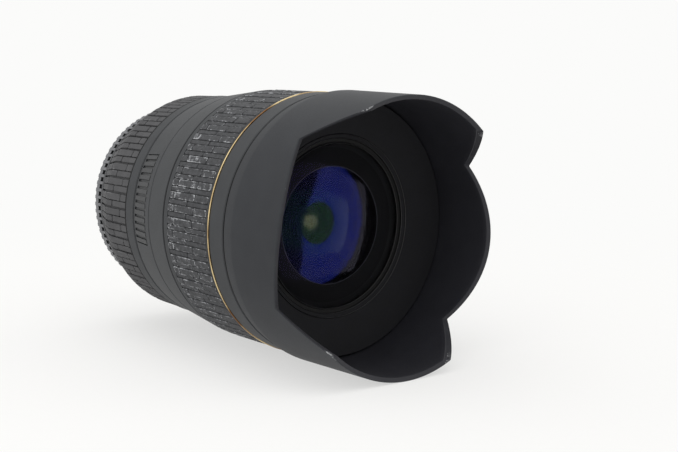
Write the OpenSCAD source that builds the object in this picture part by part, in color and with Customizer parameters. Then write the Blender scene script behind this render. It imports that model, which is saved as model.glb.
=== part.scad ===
// Wide zoom lens with a petal hood, lying on its side with its front towards -Y.
// A station is a distance along the optical axis from the mount flange, towards the front.
// An angle is turned about that axis, from +X towards the top of the lens.

/* [Overall] */
// Turn of the whole lens about its axis as it lies
roll = 9.5; // [-30:0.5:30]
// Length from the mount flange to the tips of the hood
lens_length = 130; // [126:1:138]
// Outer radius of the hood, the widest piece
hood_r = 43.5; // [43:0.1:45]

/* [Hood] */
// Wall of the hood
hood_wall = 1.5; // [1.2:0.1:2]
// Half width of a long petal's straight end
petal_half_w = 24.4; // [22:0.1:27]
// Depth of the gaps between the petals
gap_depth = 15.1; // [12:0.1:17]
// Distance from the axis plane to the bottom of a gap
gap_y = 25.1; // [23:0.1:28]
// How far the short petals stay behind the long ones
short_petal_drop = 8.5; // [6:0.1:11]

/* [Rings] */
// Turn of the zoom ring
zoom_turn = 65; // [45:1:70]
// Turn of the focus ring
focus_turn = 80; // [50:1:85]
// Turn of the aperture ring
aperture_turn = 36; // [24:1:38]
// Teeth round the aperture ring
aperture_teeth = 80; // [60:1:110]
// Pairs of brick rows round the zoom grip
zoom_pairs = 46; // [30:1:60]
// Pairs of brick rows round the focus grip
focus_pairs = 64; // [40:1:80]

/* [Groups] */
// Travel of the rear group as the zoom ring turns
rear_travel = 4; // [2:0.5:5]
// Travel of the zoom group as the zoom ring turns
zoom_travel = 8; // [4:0.5:9]
// Travel of the front group as the focus ring turns
focus_travel = 4; // [2:0.5:5]
// Swing of an iris blade as the aperture ring turns
blade_swing = 30; // [18:1:32]

/* [Fits] */
// Radial gap between pieces that turn or slide on each other
run_gap = 0.35; // [0.3:0.05:0.4]
// Side gap between a cam follower and its slot
slot_gap = 0.15; // [0.12:0.01:0.25]

/* [Hidden] */
$fn = 96;
BLADES = 8;

// Overrun of every cut past the face it opens
cut = 0.5;
// Bevels on turned rims
edge = 0.3;
fine_edge = 0.2;
// Gap along the axis between rings that turn past each other
ring_gap = 0.3;
// The same gap at the two seams beside the scale barrel, where it shows as a dark line
seam_gap = 0.5;

// Radii of the outside, from the hood inwards
hood_lap = 1.2;
band_r = hood_r - hood_lap;
gold_r = band_r + 0.2;
trim_seat_r = band_r - 1.5;
hood_seat_r = band_r - 1.4;
focus_lip_r = [band_r - 0.5, band_r - 0.1];
focus_depth = 6.9;
sleeve_r = band_r - focus_depth;
sleeve_wall = 1.4;
sleeve_in_r = sleeve_r - sleeve_wall;
motor_space = 3.4;

// Nested tubes, from the outside in
barrel_r = sleeve_in_r - motor_space;
barrel_wall = 1.4;
barrel_in_r = barrel_r - barrel_wall;
cam_r = barrel_in_r - run_gap;
cam_wall = 1.45;
cam_in_r = cam_r - cam_wall;
guide_r = cam_in_r - run_gap;
guide_wall = 1.3;
guide_in_r = guide_r - guide_wall;
cell_r = guide_in_r - run_gap;
lever_r = [cell_r - 2.2, cell_r - 0.8];
rear_cell_r = lever_r[0] - 1.7;
rear_glass_r = rear_cell_r - 1.5;

// Mount
throat_r = rear_cell_r - 0.1;
register_r = throat_r + 1.8;
register_len = 5;
lug_r = register_r + 2.8;
lug_s = [-4.6, -3.2];
lug_turn = 50;
land_r = lug_r + 1.5;
land_step = 0.3;
flange_r = barrel_r + 1.4;
flange_t = 1;
barrel_lip_r = lug_r - 1;
barrel_lip_s = flange_t + 1.2;
screw_circle_r = land_r + 1.5;
screw_head_r = 1.1;
screw_head_s = [0.1, 0.7];
screw_shank_r = 0.6;
screw_angles = [45, 135, 225, 315];
driver_slot = [1.2, 0.3, 0.5];
contact_angles = [240, 300];
contact_r = [throat_r - 2.9, throat_r];
contact_s = [-4.5, 0.5];
contact_count = 8;
contact_pin_r = 0.6;
contact_pin_h = 0.5;

// Stations of the rings, from the mount to the front
aperture_w = 3;
aperture_s = [flange_t + ring_gap, flange_t + ring_gap + aperture_w];
zoom_len = 30.5;
zoom_s = [aperture_s[1] + ring_gap, aperture_s[1] + ring_gap + zoom_len];
scale_len = 22.7;
scale_s = [zoom_s[1] + seam_gap, zoom_s[1] + seam_gap + scale_len];
focus_len = 25;
focus_s = [scale_s[1] + seam_gap, scale_s[1] + seam_gap + focus_len];
gold_w = 1.2;
gold_s = [focus_s[1] + ring_gap, focus_s[1] + ring_gap + gold_w];
band_len = 7.1;
band_s = [gold_s[1], gold_s[1] + band_len];
hood_rear_s = band_s[1];
hood_shoulder_s = hood_rear_s + 6.1;
hood_seat_len = [2.5, 4];

// Stations of the fixed pieces inside
scale_disc_t = 2.4;
barrel_end_s = scale_s[0] + scale_disc_t + 2;
sleeve_end_s = band_s[0] + 1.7;
guide_s = [aperture_s[1] + 0.1, sleeve_end_s - 1];
guide_flange_t = 1.6;
tube_retainer_t = 1.6;
spanner_hole_r = 0.7;
spanner_hole_h = 0.9;
board_t = 0.8;
board_s = [barrel_end_s + 2, focus_s[0] + 1.2];
board_angles = [20, 200];

// Bricks of the rubber grips: depth of the grooves, and share of a row's width that is groove
groove_depth = 0.6;
groove_share = 0.15;
brick_sink = groove_depth + 0.2;
// How much lower every second row of bricks stands
row_drop = 0.2;

// Zoom ring
zoom_bore_r = barrel_r + 1.6;
zoom_nose_r = barrel_r + 2.5;
zoom_lip_r = barrel_r + 7.9;
zoom_grip_t = 1.4;
zoom_grip_s = [zoom_s[0] + 3.6, zoom_s[1] - 4.9];
zoom_shoulder_s = zoom_grip_s[0] + 8.8;
zoom_path = [[zoom_grip_s[0], zoom_nose_r + 1.5], [zoom_shoulder_s, zoom_lip_r - 0.5],
             [zoom_grip_s[1], zoom_lip_r - 0.1]];
zoom_gaps = [[zoom_grip_s[0] + 7.3, zoom_grip_s[1] - 4.2], [zoom_grip_s[0] + 12.5]];
zoom_bearing_s = [zoom_s[0] + 3.4, zoom_s[1] - 3.6];
zoom_key_s = [zoom_s[0] + 15.9, zoom_s[0] + 20.9];
zoom_key_angle = 200;
key_half = 4;

// Scale barrel, which widens from the zoom ring to the focus ring
scale_r = [zoom_lip_r + 0.1, focus_lip_r[0] - 0.2];
scale_wall = 1.6;
scale_edge = 0.4;
scale_line_s = scale_s[0] + 11.8;
scale_slope = (scale_r[1] - scale_r[0]) / (scale_s[1] - scale_s[0]);
function scale_at(s) = scale_r[0] + scale_slope * (s - scale_s[0]);

// Focus ring
focus_grip_t = 1.6;
focus_grip_s = [focus_s[0] + 2.4, focus_s[1] - 0.6];
focus_path = [[focus_grip_s[0], focus_lip_r[0] + 0.2], [focus_grip_s[1], focus_lip_r[1] + 0.1]];
focus_gaps = [[focus_grip_s[0] + 3.4, focus_grip_s[0] + 14.4], [focus_grip_s[0] + 10.4]];
focus_bore_r = sleeve_r + 3.1;
focus_land_s = [focus_s[0] + 3.2, focus_s[1] - 3.3];
focus_key_s = [focus_land_s[1] - 6.5, focus_land_s[1] - 2.5];
focus_key_angle = 250;
focus_tube_s = [focus_s[0] + 1.8, guide_s[1] - tube_retainer_t - 0.4];
rotor_w = 3.5;
rotor_s = [focus_key_s[0] - rotor_w, focus_key_s[0]];
stator_w = 6.2;
stator_s = [rotor_s[0] - ring_gap - stator_w, rotor_s[0] - ring_gap];
motor_in_r = cam_r + 0.75;

// Distance window and drum, on the top of the scale barrel
window_angle = 90;
window_half = 11;
window_s = [scale_s[1] - 9.8, scale_s[1] - 2.8];
window_sunk = 0.15;
window_t = 1.15;
drum_r = [sleeve_r + 0.6, sleeve_r + 1.8];
drum_s = [window_s[0] - 2.5, focus_s[0]];
drum_margin = 4;

// Ribbed pad on the side of the scale barrel
pad_angles = [158, 203];
pad_s = [scale_s[0] + 1, scale_s[0] + 9];
pad_depth = 1;
pad_floor_h = 0.5;
pad_rib_h = 0.05;
pad_rib_shares = [0.2, 0.8];
pad_ribs = 13;

// Focus switch on the other side of the scale barrel
switch_angle = -25;
switch_seat_x = sleeve_r + 2.6;
switch_plate_t = 1.7;
switch_s = [scale_s[0] + 7.1, scale_s[1] - 4];
switch_half_w = 5;
switch_travel = 3;
switch_rest_s = switch_s[0] + 4.3;
switch_stem_half = 1;
switch_slot_s = widened([switch_rest_s, switch_rest_s + switch_travel], 2 * switch_stem_half);
switch_slot_half = 1.2;
switch_frame = 1.2;
switch_knob_h = 1.1;
switch_knob_half = 2.4;

// Aperture ring and iris
aperture_r = [zoom_nose_r - 0.8, zoom_nose_r + 0.2];
tooth_depth = 0.7;
tooth_shares = [0, 0.4, 0.55, 0.85];
aperture_bore_r = barrel_r + run_gap;
lever_angle = 72;
lever_half = 3;
lever_s = [aperture_s[0] + 1.5, aperture_s[1] - 0.3];
rotor_plate_s = [scale_s[0] - 1, scale_s[0]];
iris_open_r = cell_r - 11.9;
iris_in_r = iris_open_r + 1.3;
pivot_r = iris_open_r + 6;
pivot_pin_r = 0.5;
pivot_hole_r = 0.56;
eye_r = 2.1;
ear_reach = 3;
ear_half = 1;
drive_pin_r = 0.45;
drive_slot_half = 0.7;
blade_first_s = rotor_plate_s[1] + 0.5;
blade_pitch = 0.45;
blade_t = 0.25;
blade_width = 4.8;
blade_back = 6;
blade_span = 78;
blade_step = 360 / BLADES;
iris_skirt_s = rotor_plate_s[0] - 0.4;
iris_skirt_r = cell_r - 0.45;
iris_plate_t = 1.2;
iris_seat_s = blade_first_s + BLADES * blade_pitch + 0.5;
iris_plate_s = [iris_seat_s, iris_seat_s + iris_plate_t];

// Cells and followers of the three groups
follower_r = 1.2;
follower_angles = [30, 150, 270];
follower_top_r = cam_r - 0.25;
slot_half = follower_r + slot_gap;
glass_lip = 1.6;
boss_half = 9;
boss_half_s = 2.2;
rear_cell_s = [guide_s[0] + 2.6, iris_skirt_s - 5.2];
rear_follower_s = rear_cell_s[0] + 11;
rear_retainer_t = 1.4;
rear_shoulder_s = [rear_cell_s[0] + 7, rear_cell_s[0] + 13];
relay_end_s = rear_cell_s[1] - 2;
zoom_cell_len = 12;
zoom_cell_s = [iris_plate_s[1] + 2.6, iris_plate_s[1] + 2.6 + zoom_cell_len];
zoom_follower_s = zoom_cell_s[0] + 3;
zoom_glass_r = cell_r - 3.4;
zoom_glass_s = [zoom_cell_s[0] + 1.5, zoom_cell_s[1] - 2];
zoom_retainer_t = 1.4;
front_web_s = [guide_s[1] + 1, guide_s[1] + 2.5];
front_cell_s = [zoom_cell_s[1] + zoom_travel + 2, front_web_s[1] + 5.1];
focus_follower_s = front_cell_s[0] + 2;
second_glass_r = cell_r - 1.5;
second_glass_s = [front_web_s[0] - 12.7, front_web_s[0] + 0.5];
second_hollows = [3.75, 8.2];
front_glass_r = cell_r + 2.9;
front_cell_r = front_glass_r + 1.5;
front_clear_r = front_glass_r - 1.8;
front_ring_r = hood_r - 2.3;
front_ring_rise = 4.3;
front_ring_t = 1.3;
cam_s = [guide_s[0] + guide_flange_t + 0.5, focus_tube_s[0] - 0.6];

// Curves of the glasses, as multiples of the glass's radius
rear_curve = 4.5;
relay_curve = 3.75;
zoom_curves = [3.6, 3.2];
second_curves = [0.753, 1.1715];
front_curves = [1.2, 2.173];
front_radius = front_curves[1] * front_glass_r;
front_edge_s = front_cell_s[1] - 0.6;
front_apex_s = front_edge_s + front_radius - sqrt(pow(front_radius, 2) - pow(front_glass_r, 2));
front_glass_t = 6.4;

// Frame and basic shapes

// Turns the optical axis from +Z to -Y and rolls the lens as it lies
module placed() rotate([0, roll, 0]) rotate([90, 0, 0]) children();

// Solid of revolution from a list of radius and station
module turned(points) rotate_extrude() polygon(points);

// Plain ring between two radii and two stations
module ring(r_in, r_out, s) rotate_extrude() translate([r_in, s[0]]) square([r_out - r_in, s[1] - s[0]]);

// Part of a ring between two angles
module sector(r_in, r_out, s, a) rotate_extrude(angle = a[1] - a[0], start = a[0])
    translate([r_in, s[0]]) square([r_out - r_in, s[1] - s[0]]);

// Part of a solid of revolution between two angles
module turned_sector(points, a) rotate_extrude(angle = a[1] - a[0], start = a[0]) polygon(points);

// Rows of bricks along a grip: stations that a row covers, and the ring that its bricks are cut from
function row_ends(path, gaps, gap) = let (first = path[0][0] + gap, last = path[len(path) - 1][0] - gap)
    [for (i = [0 : len(gaps)]) [i == 0 ? first : gaps[i - 1] + gap, i == len(gaps) ? last : gaps[i] - gap]];

module brick_ring(path, s) {
    stations = [s[0], each [for (p = path) if (p[0] > s[0] && p[0] < s[1]) p[0]], s[1]];
    turned(concat([for (t = stations) [lookup(t, path), t]],
                  [for (i = [len(stations) - 1 : -1 : 0])
                      [lookup(stations[i], path) - brick_sink, stations[i]]]));
}

// Every second row round a grip, cut into bricks that end at the gaps
module brick_rows(path, pairs, first, gaps) intersection() {
    pitch = 180 / pairs;
    for (s = row_ends(path, gaps, edge / 2))
        brick_ring(path, s);
    translate([0, 0, path[0][0] - cut])
        linear_extrude(height = path[len(path) - 1][0] - path[0][0] + 2 * cut)
            for (i = [0 : pairs - 1])
                let (a = pitch * (2 * i + first + groove_share / 2), b = a + pitch * (1 - groove_share))
                polygon([barrel_r * [cos(a), sin(a)], 1.1 * hood_r * [cos(a), sin(a)],
                         1.1 * hood_r * [cos(b), sin(b)], barrel_r * [cos(b), sin(b)]]);
}

// Rubber sleeve of a grip with its two sets of brick rows in running bond
module brick_grip(path, seat, pairs, gaps) {
    turned(concat([for (p = path) [p[1] - groove_depth, p[0]]],
                  [for (i = [len(path) - 1 : -1 : 0]) [path[i][1] - seat, path[i][0]]]));
    for (first = [0, 1])
        brick_rows([for (p = path) [p[0], p[1] - first * row_drop]], pairs, first, gaps[first]);
}

// Pin along a radius
module radial_pin(r, from_r, to_r, angle, s) rotate([0, 0, angle]) translate([from_r, 0, s])
    rotate([0, 90, 0]) cylinder(r = r, h = to_r - from_r);

// Pin along the optical axis
module axial_pin(r, at_r, angle, s) rotate([0, 0, angle]) translate([at_r, 0, s[0]])
    cylinder(r = r, h = s[1] - s[0]);

// Widens a pair of limits by a margin at both ends
function widened(pair, margin) = [pair[0] - margin, pair[1] + margin];

// Straight slot in a tube for a follower that slides between two stations
module straight_slot(angle, s, travel) {
    for (end = [0, travel])
        radial_pin(slot_half, cell_r, guide_r + cut, angle, s + end);
    rotate([0, 0, angle])
        translate([cell_r, -slot_half, s])
            cube([guide_r + cut - cell_r, 2 * slot_half, travel]);
}

// Corner of a helical slot's section at a share t of the turn
function helix_corner(angle, s, travel, turn, t, r, side) =
    let (a = angle - turn * t)
    [r * cos(a), r * sin(a), s + travel * t + side];

// Helical slot in a tube: the follower moves by travel as the tube turns
module helical_slot(angle, s, travel, turn, r_in, r_out) {
    steps = 12;
    slope = atan(travel / (turn * PI / 180 * r_out));
    half = slot_half / cos(slope);
    over = (follower_r + 2 * slot_gap) / r_in * 180 / PI / turn;
    sections = [for (i = [0 : steps]) -over + (1 + 2 * over) * i / steps];
    points = [for (t = sections, c = [[r_in, -half], [r_out, -half], [r_out, half], [r_in, half]])
        helix_corner(angle, s, travel, turn, t, c[0], c[1])];
    sides = [for (i = [0 : steps - 1], j = [0 : 3])
        let (a = 4 * i + (j + 1) % 4, b = 4 * i + j, c = 4 * i + 4 + j, d = 4 * i + 4 + (j + 1) % 4)
        each [[a, b, c], [a, c, d]]];
    last = 4 * steps;
    polyhedron(points, concat([[0, 1, 2, 3], [last + 3, last + 2, last + 1, last]], sides));
}

// Three followers pressed into a cell
module followers(s, from_r) for (a = follower_angles) radial_pin(follower_r, from_r, follower_top_r, a, s);

// Blank of a glass: a plain disc between two stations
module glass_blank(r, s) translate([0, 0, s[0]]) cylinder(r = r, h = s[1] - s[0]);

// Ball whose surface meets the axis at a station, with its centre behind or in front of it
module glass_ball(s, r, side) translate([0, 0, s + side * r]) sphere(r = r);

// Fixed pieces

module bayonet_mount() color("silver") placed() difference() {
    union() {
        turned([[throat_r, land_step], [land_r, land_step], [land_r, 0], [flange_r - edge, 0],
                [flange_r, edge], [flange_r, flange_t], [throat_r, flange_t]]);
        ring(throat_r, register_r, [-register_len, land_step]);
        for (k = [0 : 2])
            sector(register_r, lug_r, lug_s, [120 * k, 120 * k + lug_turn]);
    }
    for (a = screw_angles) {
        axial_pin(screw_head_r, screw_circle_r, a, [-cut, screw_head_s[1]]);
        axial_pin(screw_shank_r, screw_circle_r, a, [0, flange_t + cut]);
    }
}

module mount_screws() color("gainsboro") placed() for (a = screw_angles) difference() {
    union() {
        axial_pin(screw_head_r, screw_circle_r, a, screw_head_s);
        axial_pin(screw_shank_r, screw_circle_r, a, [screw_head_s[1], barrel_lip_s]);
    }
    for (turn = [0, 90])
        rotate([0, 0, a]) translate([screw_circle_r, 0, screw_head_s[0]])
            rotate([0, 0, turn]) cube(driver_slot, center = true);
}

module contact_block() color("dimgray") placed()
    sector(contact_r[0], contact_r[1], contact_s, contact_angles);

module contact_pins() color("gold") placed() for (i = [0 : contact_count - 1])
    let (a = contact_angles[0] + (i + 0.5) * (contact_angles[1] - contact_angles[0]) / contact_count)
    axial_pin(contact_pin_r, (contact_r[0] + contact_r[1]) / 2, a,
              [contact_s[0] - contact_pin_h, contact_s[0]]);

module rear_barrel() color("darkslategray") placed() difference() {
    turned([[barrel_lip_r, flange_t], [barrel_r, flange_t], [barrel_r, scale_s[0] + scale_disc_t],
            [sleeve_in_r, scale_s[0] + scale_disc_t], [sleeve_in_r, barrel_end_s],
            [barrel_in_r, barrel_end_s], [barrel_in_r, barrel_lip_s], [barrel_lip_r, barrel_lip_s]]);
    for (a = screw_angles)
        axial_pin(screw_shank_r, screw_circle_r, a, [flange_t - cut, barrel_lip_s + cut]);
    sector(barrel_in_r - cut, barrel_r + cut, widened(lever_s, ring_gap),
           [lever_angle - lever_half - 2, lever_angle + aperture_turn + lever_half + 2]);
    sector(barrel_in_r - cut, barrel_r + cut, widened(zoom_key_s, ring_gap),
           [zoom_key_angle - key_half - 2, zoom_key_angle + zoom_turn + key_half + 2]);
}

module guide_tube() color("slategray") placed() difference() {
    union() {
        ring(guide_in_r, guide_r, guide_s);
        ring(guide_in_r, barrel_in_r, [guide_s[0], guide_s[0] + guide_flange_t]);
    }
    for (a = follower_angles) {
        straight_slot(a, rear_follower_s, rear_travel);
        straight_slot(a, zoom_follower_s, zoom_travel);
        straight_slot(a, focus_follower_s, focus_travel);
    }
}

module tube_retainer() color("dimgray") placed() difference() {
    ring(guide_r, cam_r, [guide_s[1] - tube_retainer_t, guide_s[1]]);
    for (a = [0, 90, 180, 270])
        axial_pin(spanner_hole_r, (guide_r + cam_r) / 2, a,
                  [guide_s[1] - spanner_hole_h, guide_s[1] + cut]);
}

module switch_block(x, s, half_w) rotate([0, 0, switch_angle])
    translate([x[0], -half_w, s[0]]) cube([x[1] - x[0], 2 * half_w, s[1] - s[0]]);

module scale_barrel() color([0.26, 0.26, 0.28]) placed() difference() {
    disc_s = scale_s[0] + scale_disc_t;
    line_s = [scale_line_s - scale_edge, scale_line_s, scale_line_s + scale_edge];
    union() {
        turned([[barrel_r, scale_s[0]], [scale_r[0] - scale_edge, scale_s[0]],
                [scale_r[0], scale_s[0] + scale_edge], [scale_at(line_s[0]), line_s[0]],
                [scale_at(line_s[1]) - edge, line_s[1]], [scale_at(line_s[2]), line_s[2]],
                [scale_r[1], scale_s[1] - scale_edge], [scale_r[1] - scale_edge, scale_s[1]],
                [scale_r[1] - scale_wall, scale_s[1]], [scale_at(disc_s) - scale_wall, disc_s],
                [barrel_r, disc_s]]);
        switch_block([drum_r[0], scale_at(switch_s[0]) - 1], widened(switch_s, switch_frame),
                     switch_half_w + switch_frame);
    }
    switch_block([switch_seat_x, hood_r], switch_s, switch_half_w);
    sector(drum_r[1] + run_gap, hood_r, window_s, [window_angle - window_half, window_angle + window_half]);
    turned_sector([[scale_at(pad_s[0]) - pad_depth, pad_s[0]], [hood_r, pad_s[0]], [hood_r, pad_s[1]],
                   [scale_at(pad_s[1]) - pad_depth, pad_s[1]]], pad_angles);
}

// Side view of a layer on the scale barrel between two depths below its surface
function scale_layer(s, low, high) = [[scale_at(s[0]) - low, s[0]], [scale_at(s[0]) - high, s[0]],
                                      [scale_at(s[1]) - high, s[1]], [scale_at(s[1]) - low, s[1]]];

module distance_window() color([0.75, 0.85, 0.9, 0.4]) placed()
    turned_sector(scale_layer(window_s, window_sunk + window_t, window_sunk),
                  [window_angle - window_half, window_angle + window_half]);

module thumb_pad() color([0.2, 0.2, 0.21]) placed() {
    pitch = (pad_angles[1] - pad_angles[0]) / pad_ribs;
    turned_sector(scale_layer(pad_s, pad_depth, pad_floor_h), pad_angles);
    for (i = [0 : pad_ribs - 1])
        turned_sector(scale_layer(widened(pad_s, -edge), pad_depth / 2, -pad_rib_h),
                      [for (share = pad_rib_shares) pad_angles[0] + (i + share) * pitch]);
}

module switch_plate() color([0.2, 0.2, 0.21]) placed() difference() {
    switch_block([switch_seat_x, switch_seat_x + switch_plate_t], switch_s, switch_half_w);
    switch_block([switch_seat_x - cut, switch_seat_x + switch_plate_t + cut],
                 switch_slot_s, switch_slot_half);
}

module front_sleeve() color("dimgray") placed() difference() {
    ring(sleeve_in_r, sleeve_r, [scale_s[0] + scale_disc_t, sleeve_end_s]);
    sector(sleeve_in_r - cut, sleeve_r + cut, widened(focus_key_s, ring_gap),
           [focus_key_angle - key_half - 1, focus_key_angle + focus_turn + key_half + 1]);
}

module circuit_board() color("darkgreen") placed()
    sector(sleeve_in_r - board_t, sleeve_in_r, board_s, board_angles);

module motor_stator() color("peru") placed() ring(motor_in_r, sleeve_in_r, stator_s);

module gold_ring() color("goldenrod") placed()
    turned([[trim_seat_r, gold_s[0]], [gold_r - fine_edge, gold_s[0]], [gold_r, gold_s[0] + fine_edge],
            [gold_r, gold_s[1] - fine_edge], [gold_r - fine_edge, gold_s[1]], [trim_seat_r, gold_s[1]]]);

module front_barrel() color([0.26, 0.26, 0.28]) placed()
    turned([[sleeve_r, gold_s[0]], [trim_seat_r, gold_s[0]], [trim_seat_r, band_s[0]],
            [band_r - fine_edge, band_s[0]], [band_r, band_s[0] + fine_edge],
            [band_r, band_s[1] - scale_edge], [band_r - scale_edge, band_s[1]],
            [hood_seat_r, band_s[1]], [hood_seat_r, sleeve_end_s], [sleeve_r, sleeve_end_s]]);

// Side view of what is cut away between the long petals
module petal_gap() {
    flat_y = sqrt(pow(hood_r, 2) - pow(petal_half_w, 2));
    gap_s = lens_length - gap_depth;
    over = 3;
    slope = (flat_y - gap_y) / gap_depth;
    top_y = flat_y + over * slope;
    low_y = gap_y - over * slope;
    short_rise = gap_depth - short_petal_drop;
    short_r = (pow(gap_y, 2) + pow(short_rise, 2)) / (2 * short_rise);
    rotate([90, 0, 90])
        linear_extrude(height = 3 * hood_r, center = true)
            difference() {
                polygon([[top_y, lens_length + over], [low_y, gap_s - over],
                         [-low_y, gap_s - over], [-top_y, lens_length + over]]);
                translate([0, lens_length - short_petal_drop - short_r])
                    circle(r = short_r, $fn = 192);
            }
}

module hood() color([0.13, 0.13, 0.14]) placed() difference() {
    in_r = hood_r - hood_wall;
    turned([[hood_seat_r, hood_rear_s], [band_r - scale_edge, hood_rear_s],
            [band_r, hood_rear_s + scale_edge], [hood_r, hood_shoulder_s],
            [hood_r, lens_length - edge], [hood_r - edge, lens_length],
            [in_r + fine_edge, lens_length], [in_r, lens_length - fine_edge],
            [in_r, hood_rear_s + hood_seat_len[1]], [hood_seat_r, hood_rear_s + hood_seat_len[0]]]);
    petal_gap();
}

module iris_plate() color("dimgray") placed() {
    turned([[iris_in_r, iris_plate_s[0]], [iris_skirt_r, iris_plate_s[0]], [iris_skirt_r, iris_skirt_s],
            [guide_in_r, iris_skirt_s], [guide_in_r, iris_plate_s[1]], [iris_in_r, iris_plate_s[1]]]);
    for (k = [0 : BLADES - 1])
        axial_pin(pivot_pin_r, pivot_r, blade_step * k, [blade_first_s + blade_pitch * k, iris_plate_s[0]]);
}

// Zoom ring and what turns with it

module zoom_ring() color([0.24, 0.24, 0.26]) placed()
    turned(concat([[barrel_r + run_gap, zoom_s[0]], [zoom_nose_r - edge, zoom_s[0]],
                   [zoom_nose_r, zoom_s[0] + edge], [zoom_path[0][1], zoom_path[0][0]]],
                  [for (p = zoom_path) [p[1] - zoom_grip_t, p[0]]],
                  [[zoom_lip_r, zoom_grip_s[1]], [zoom_lip_r, zoom_s[1] - edge],
                   [zoom_lip_r - edge, zoom_s[1]], [barrel_r + run_gap, zoom_s[1]],
                   [barrel_r + run_gap, zoom_bearing_s[1]],
                   [zoom_bore_r, zoom_bearing_s[1]], [zoom_bore_r, zoom_bearing_s[0]],
                   [barrel_r + run_gap, zoom_bearing_s[0]]]));

module zoom_grip() color([0.17, 0.17, 0.18]) placed()
    brick_grip(zoom_path, zoom_grip_t, zoom_pairs, zoom_gaps);

module zoom_key() color("silver") placed()
    sector(cam_r, zoom_bore_r, zoom_key_s, [zoom_key_angle - key_half, zoom_key_angle + key_half]);

module cam_tube() color("lightslategray") placed() difference() {
    ring(cam_in_r, cam_r, cam_s);
    for (a = follower_angles) {
        helical_slot(a, rear_follower_s, rear_travel, zoom_turn, cam_in_r - cut, cam_r + cut);
        helical_slot(a, zoom_follower_s, zoom_travel, zoom_turn, cam_in_r - cut, cam_r + cut);
    }
}

// Zoom group

module zoom_cell() color("dimgray") placed() difference() {
    turned([[zoom_glass_r, zoom_glass_s[0]], [zoom_glass_r - glass_lip, zoom_glass_s[0]],
            [zoom_glass_r - glass_lip, zoom_cell_s[0]], [cell_r, zoom_cell_s[0]], [cell_r, zoom_cell_s[1]],
            [zoom_glass_r, zoom_cell_s[1]]]);
    for (a = follower_angles)
        radial_pin(follower_r, zoom_glass_r + 1, cell_r + cut, a, zoom_follower_s);
}

module zoom_element() color([0.7, 0.8, 0.85, 0.4]) placed() difference() {
    glass_blank(zoom_glass_r, zoom_glass_s);
    glass_ball(zoom_glass_s[0] + 3, zoom_curves[0] * zoom_glass_r, -1);
    glass_ball(zoom_glass_s[1] - 3, zoom_curves[1] * zoom_glass_r, 1);
}

module zoom_retainer() color("dimgray") placed()
    ring(zoom_glass_r - glass_lip, zoom_glass_r, [zoom_glass_s[1], zoom_glass_s[1] + zoom_retainer_t]);

module zoom_followers() color("gold") placed() followers(zoom_follower_s, zoom_glass_r + 1);

// Rear group

module rear_cell() color("dimgray") placed() difference() {
    union() {
        ring(rear_glass_r, rear_cell_r, rear_cell_s);
        ring(rear_glass_r - glass_lip, rear_glass_r, rear_shoulder_s);
        for (a = follower_angles)
            sector(rear_cell_r - cut, cell_r, widened([rear_follower_s, rear_follower_s], boss_half_s),
                   [a - boss_half, a + boss_half]);
    }
    for (a = follower_angles)
        radial_pin(follower_r, rear_cell_r, cell_r + cut, a, rear_follower_s);
}

module rear_element() color([0.7, 0.8, 0.85, 0.4]) placed() intersection() {
    glass_blank(rear_glass_r, [rear_cell_s[0] + rear_retainer_t, rear_shoulder_s[0]]);
    glass_ball(rear_cell_s[0] - 0.6, rear_curve * rear_glass_r, 1);
}

module relay_element() color([0.7, 0.8, 0.85, 0.4]) placed() difference() {
    glass_blank(rear_glass_r, [rear_shoulder_s[1], relay_end_s]);
    glass_ball(relay_end_s - 2, relay_curve * rear_glass_r, 1);
}

module rear_retainer() color("dimgray") placed()
    turned([[rear_glass_r - glass_lip, rear_cell_s[0]], [rear_glass_r, rear_cell_s[0]],
            [rear_glass_r, rear_cell_s[0] + rear_retainer_t],
            [rear_glass_r - glass_lip, rear_cell_s[0] + rear_retainer_t - edge]]);

module rear_followers() color("gold") placed() followers(rear_follower_s, rear_cell_r);

// Focus ring and what turns with it

module focus_ring() color([0.24, 0.24, 0.26]) placed()
    turned(concat([[sleeve_r + run_gap, focus_s[0]], [focus_lip_r[0] - edge, focus_s[0]],
                   [focus_lip_r[0], focus_s[0] + edge], [focus_lip_r[0], focus_grip_s[0]]],
                  [for (p = focus_path) [p[1] - focus_grip_t, p[0]]],
                  [[focus_lip_r[1], focus_grip_s[1]], [focus_lip_r[1], focus_s[1] - fine_edge],
                   [focus_lip_r[1] - fine_edge, focus_s[1]], [sleeve_r + run_gap, focus_s[1]],
                   [sleeve_r + run_gap, focus_land_s[1]], [focus_bore_r, focus_land_s[1]],
                   [focus_bore_r, focus_land_s[0]], [sleeve_r + run_gap, focus_land_s[0]]]));

module focus_grip() color([0.17, 0.17, 0.18]) placed()
    brick_grip(focus_path, focus_grip_t, focus_pairs, focus_gaps);

module focus_key() color("silver") placed()
    sector(cam_r, focus_bore_r, focus_key_s, [focus_key_angle - key_half, focus_key_angle + key_half]);

module focus_tube() color("lightslategray") placed() difference() {
    ring(cam_in_r, cam_r, focus_tube_s);
    for (a = follower_angles)
        helical_slot(a, focus_follower_s, focus_travel, focus_turn, cam_in_r - cut, cam_r + cut);
}

module motor_rotor() color("silver") placed() ring(motor_in_r, sleeve_in_r - run_gap, rotor_s);

module distance_drum() color("dimgray") placed()
    sector(drum_r[0], drum_r[1], drum_s,
           widened([window_angle - focus_turn, window_angle], window_half + drum_margin));

// Front group

module front_cell() color("dimgray") placed() difference() {
    turned([[second_glass_r, front_cell_s[0]], [cell_r, front_cell_s[0]], [cell_r, front_web_s[0]],
            [front_cell_r, front_web_s[0]], [front_cell_r, front_cell_s[1]], [front_glass_r, front_cell_s[1]],
            [front_glass_r, front_web_s[1]], [second_glass_r, front_web_s[1]]]);
    for (a = follower_angles)
        radial_pin(follower_r, second_glass_r - cut, cell_r + cut, a, focus_follower_s);
}

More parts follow.
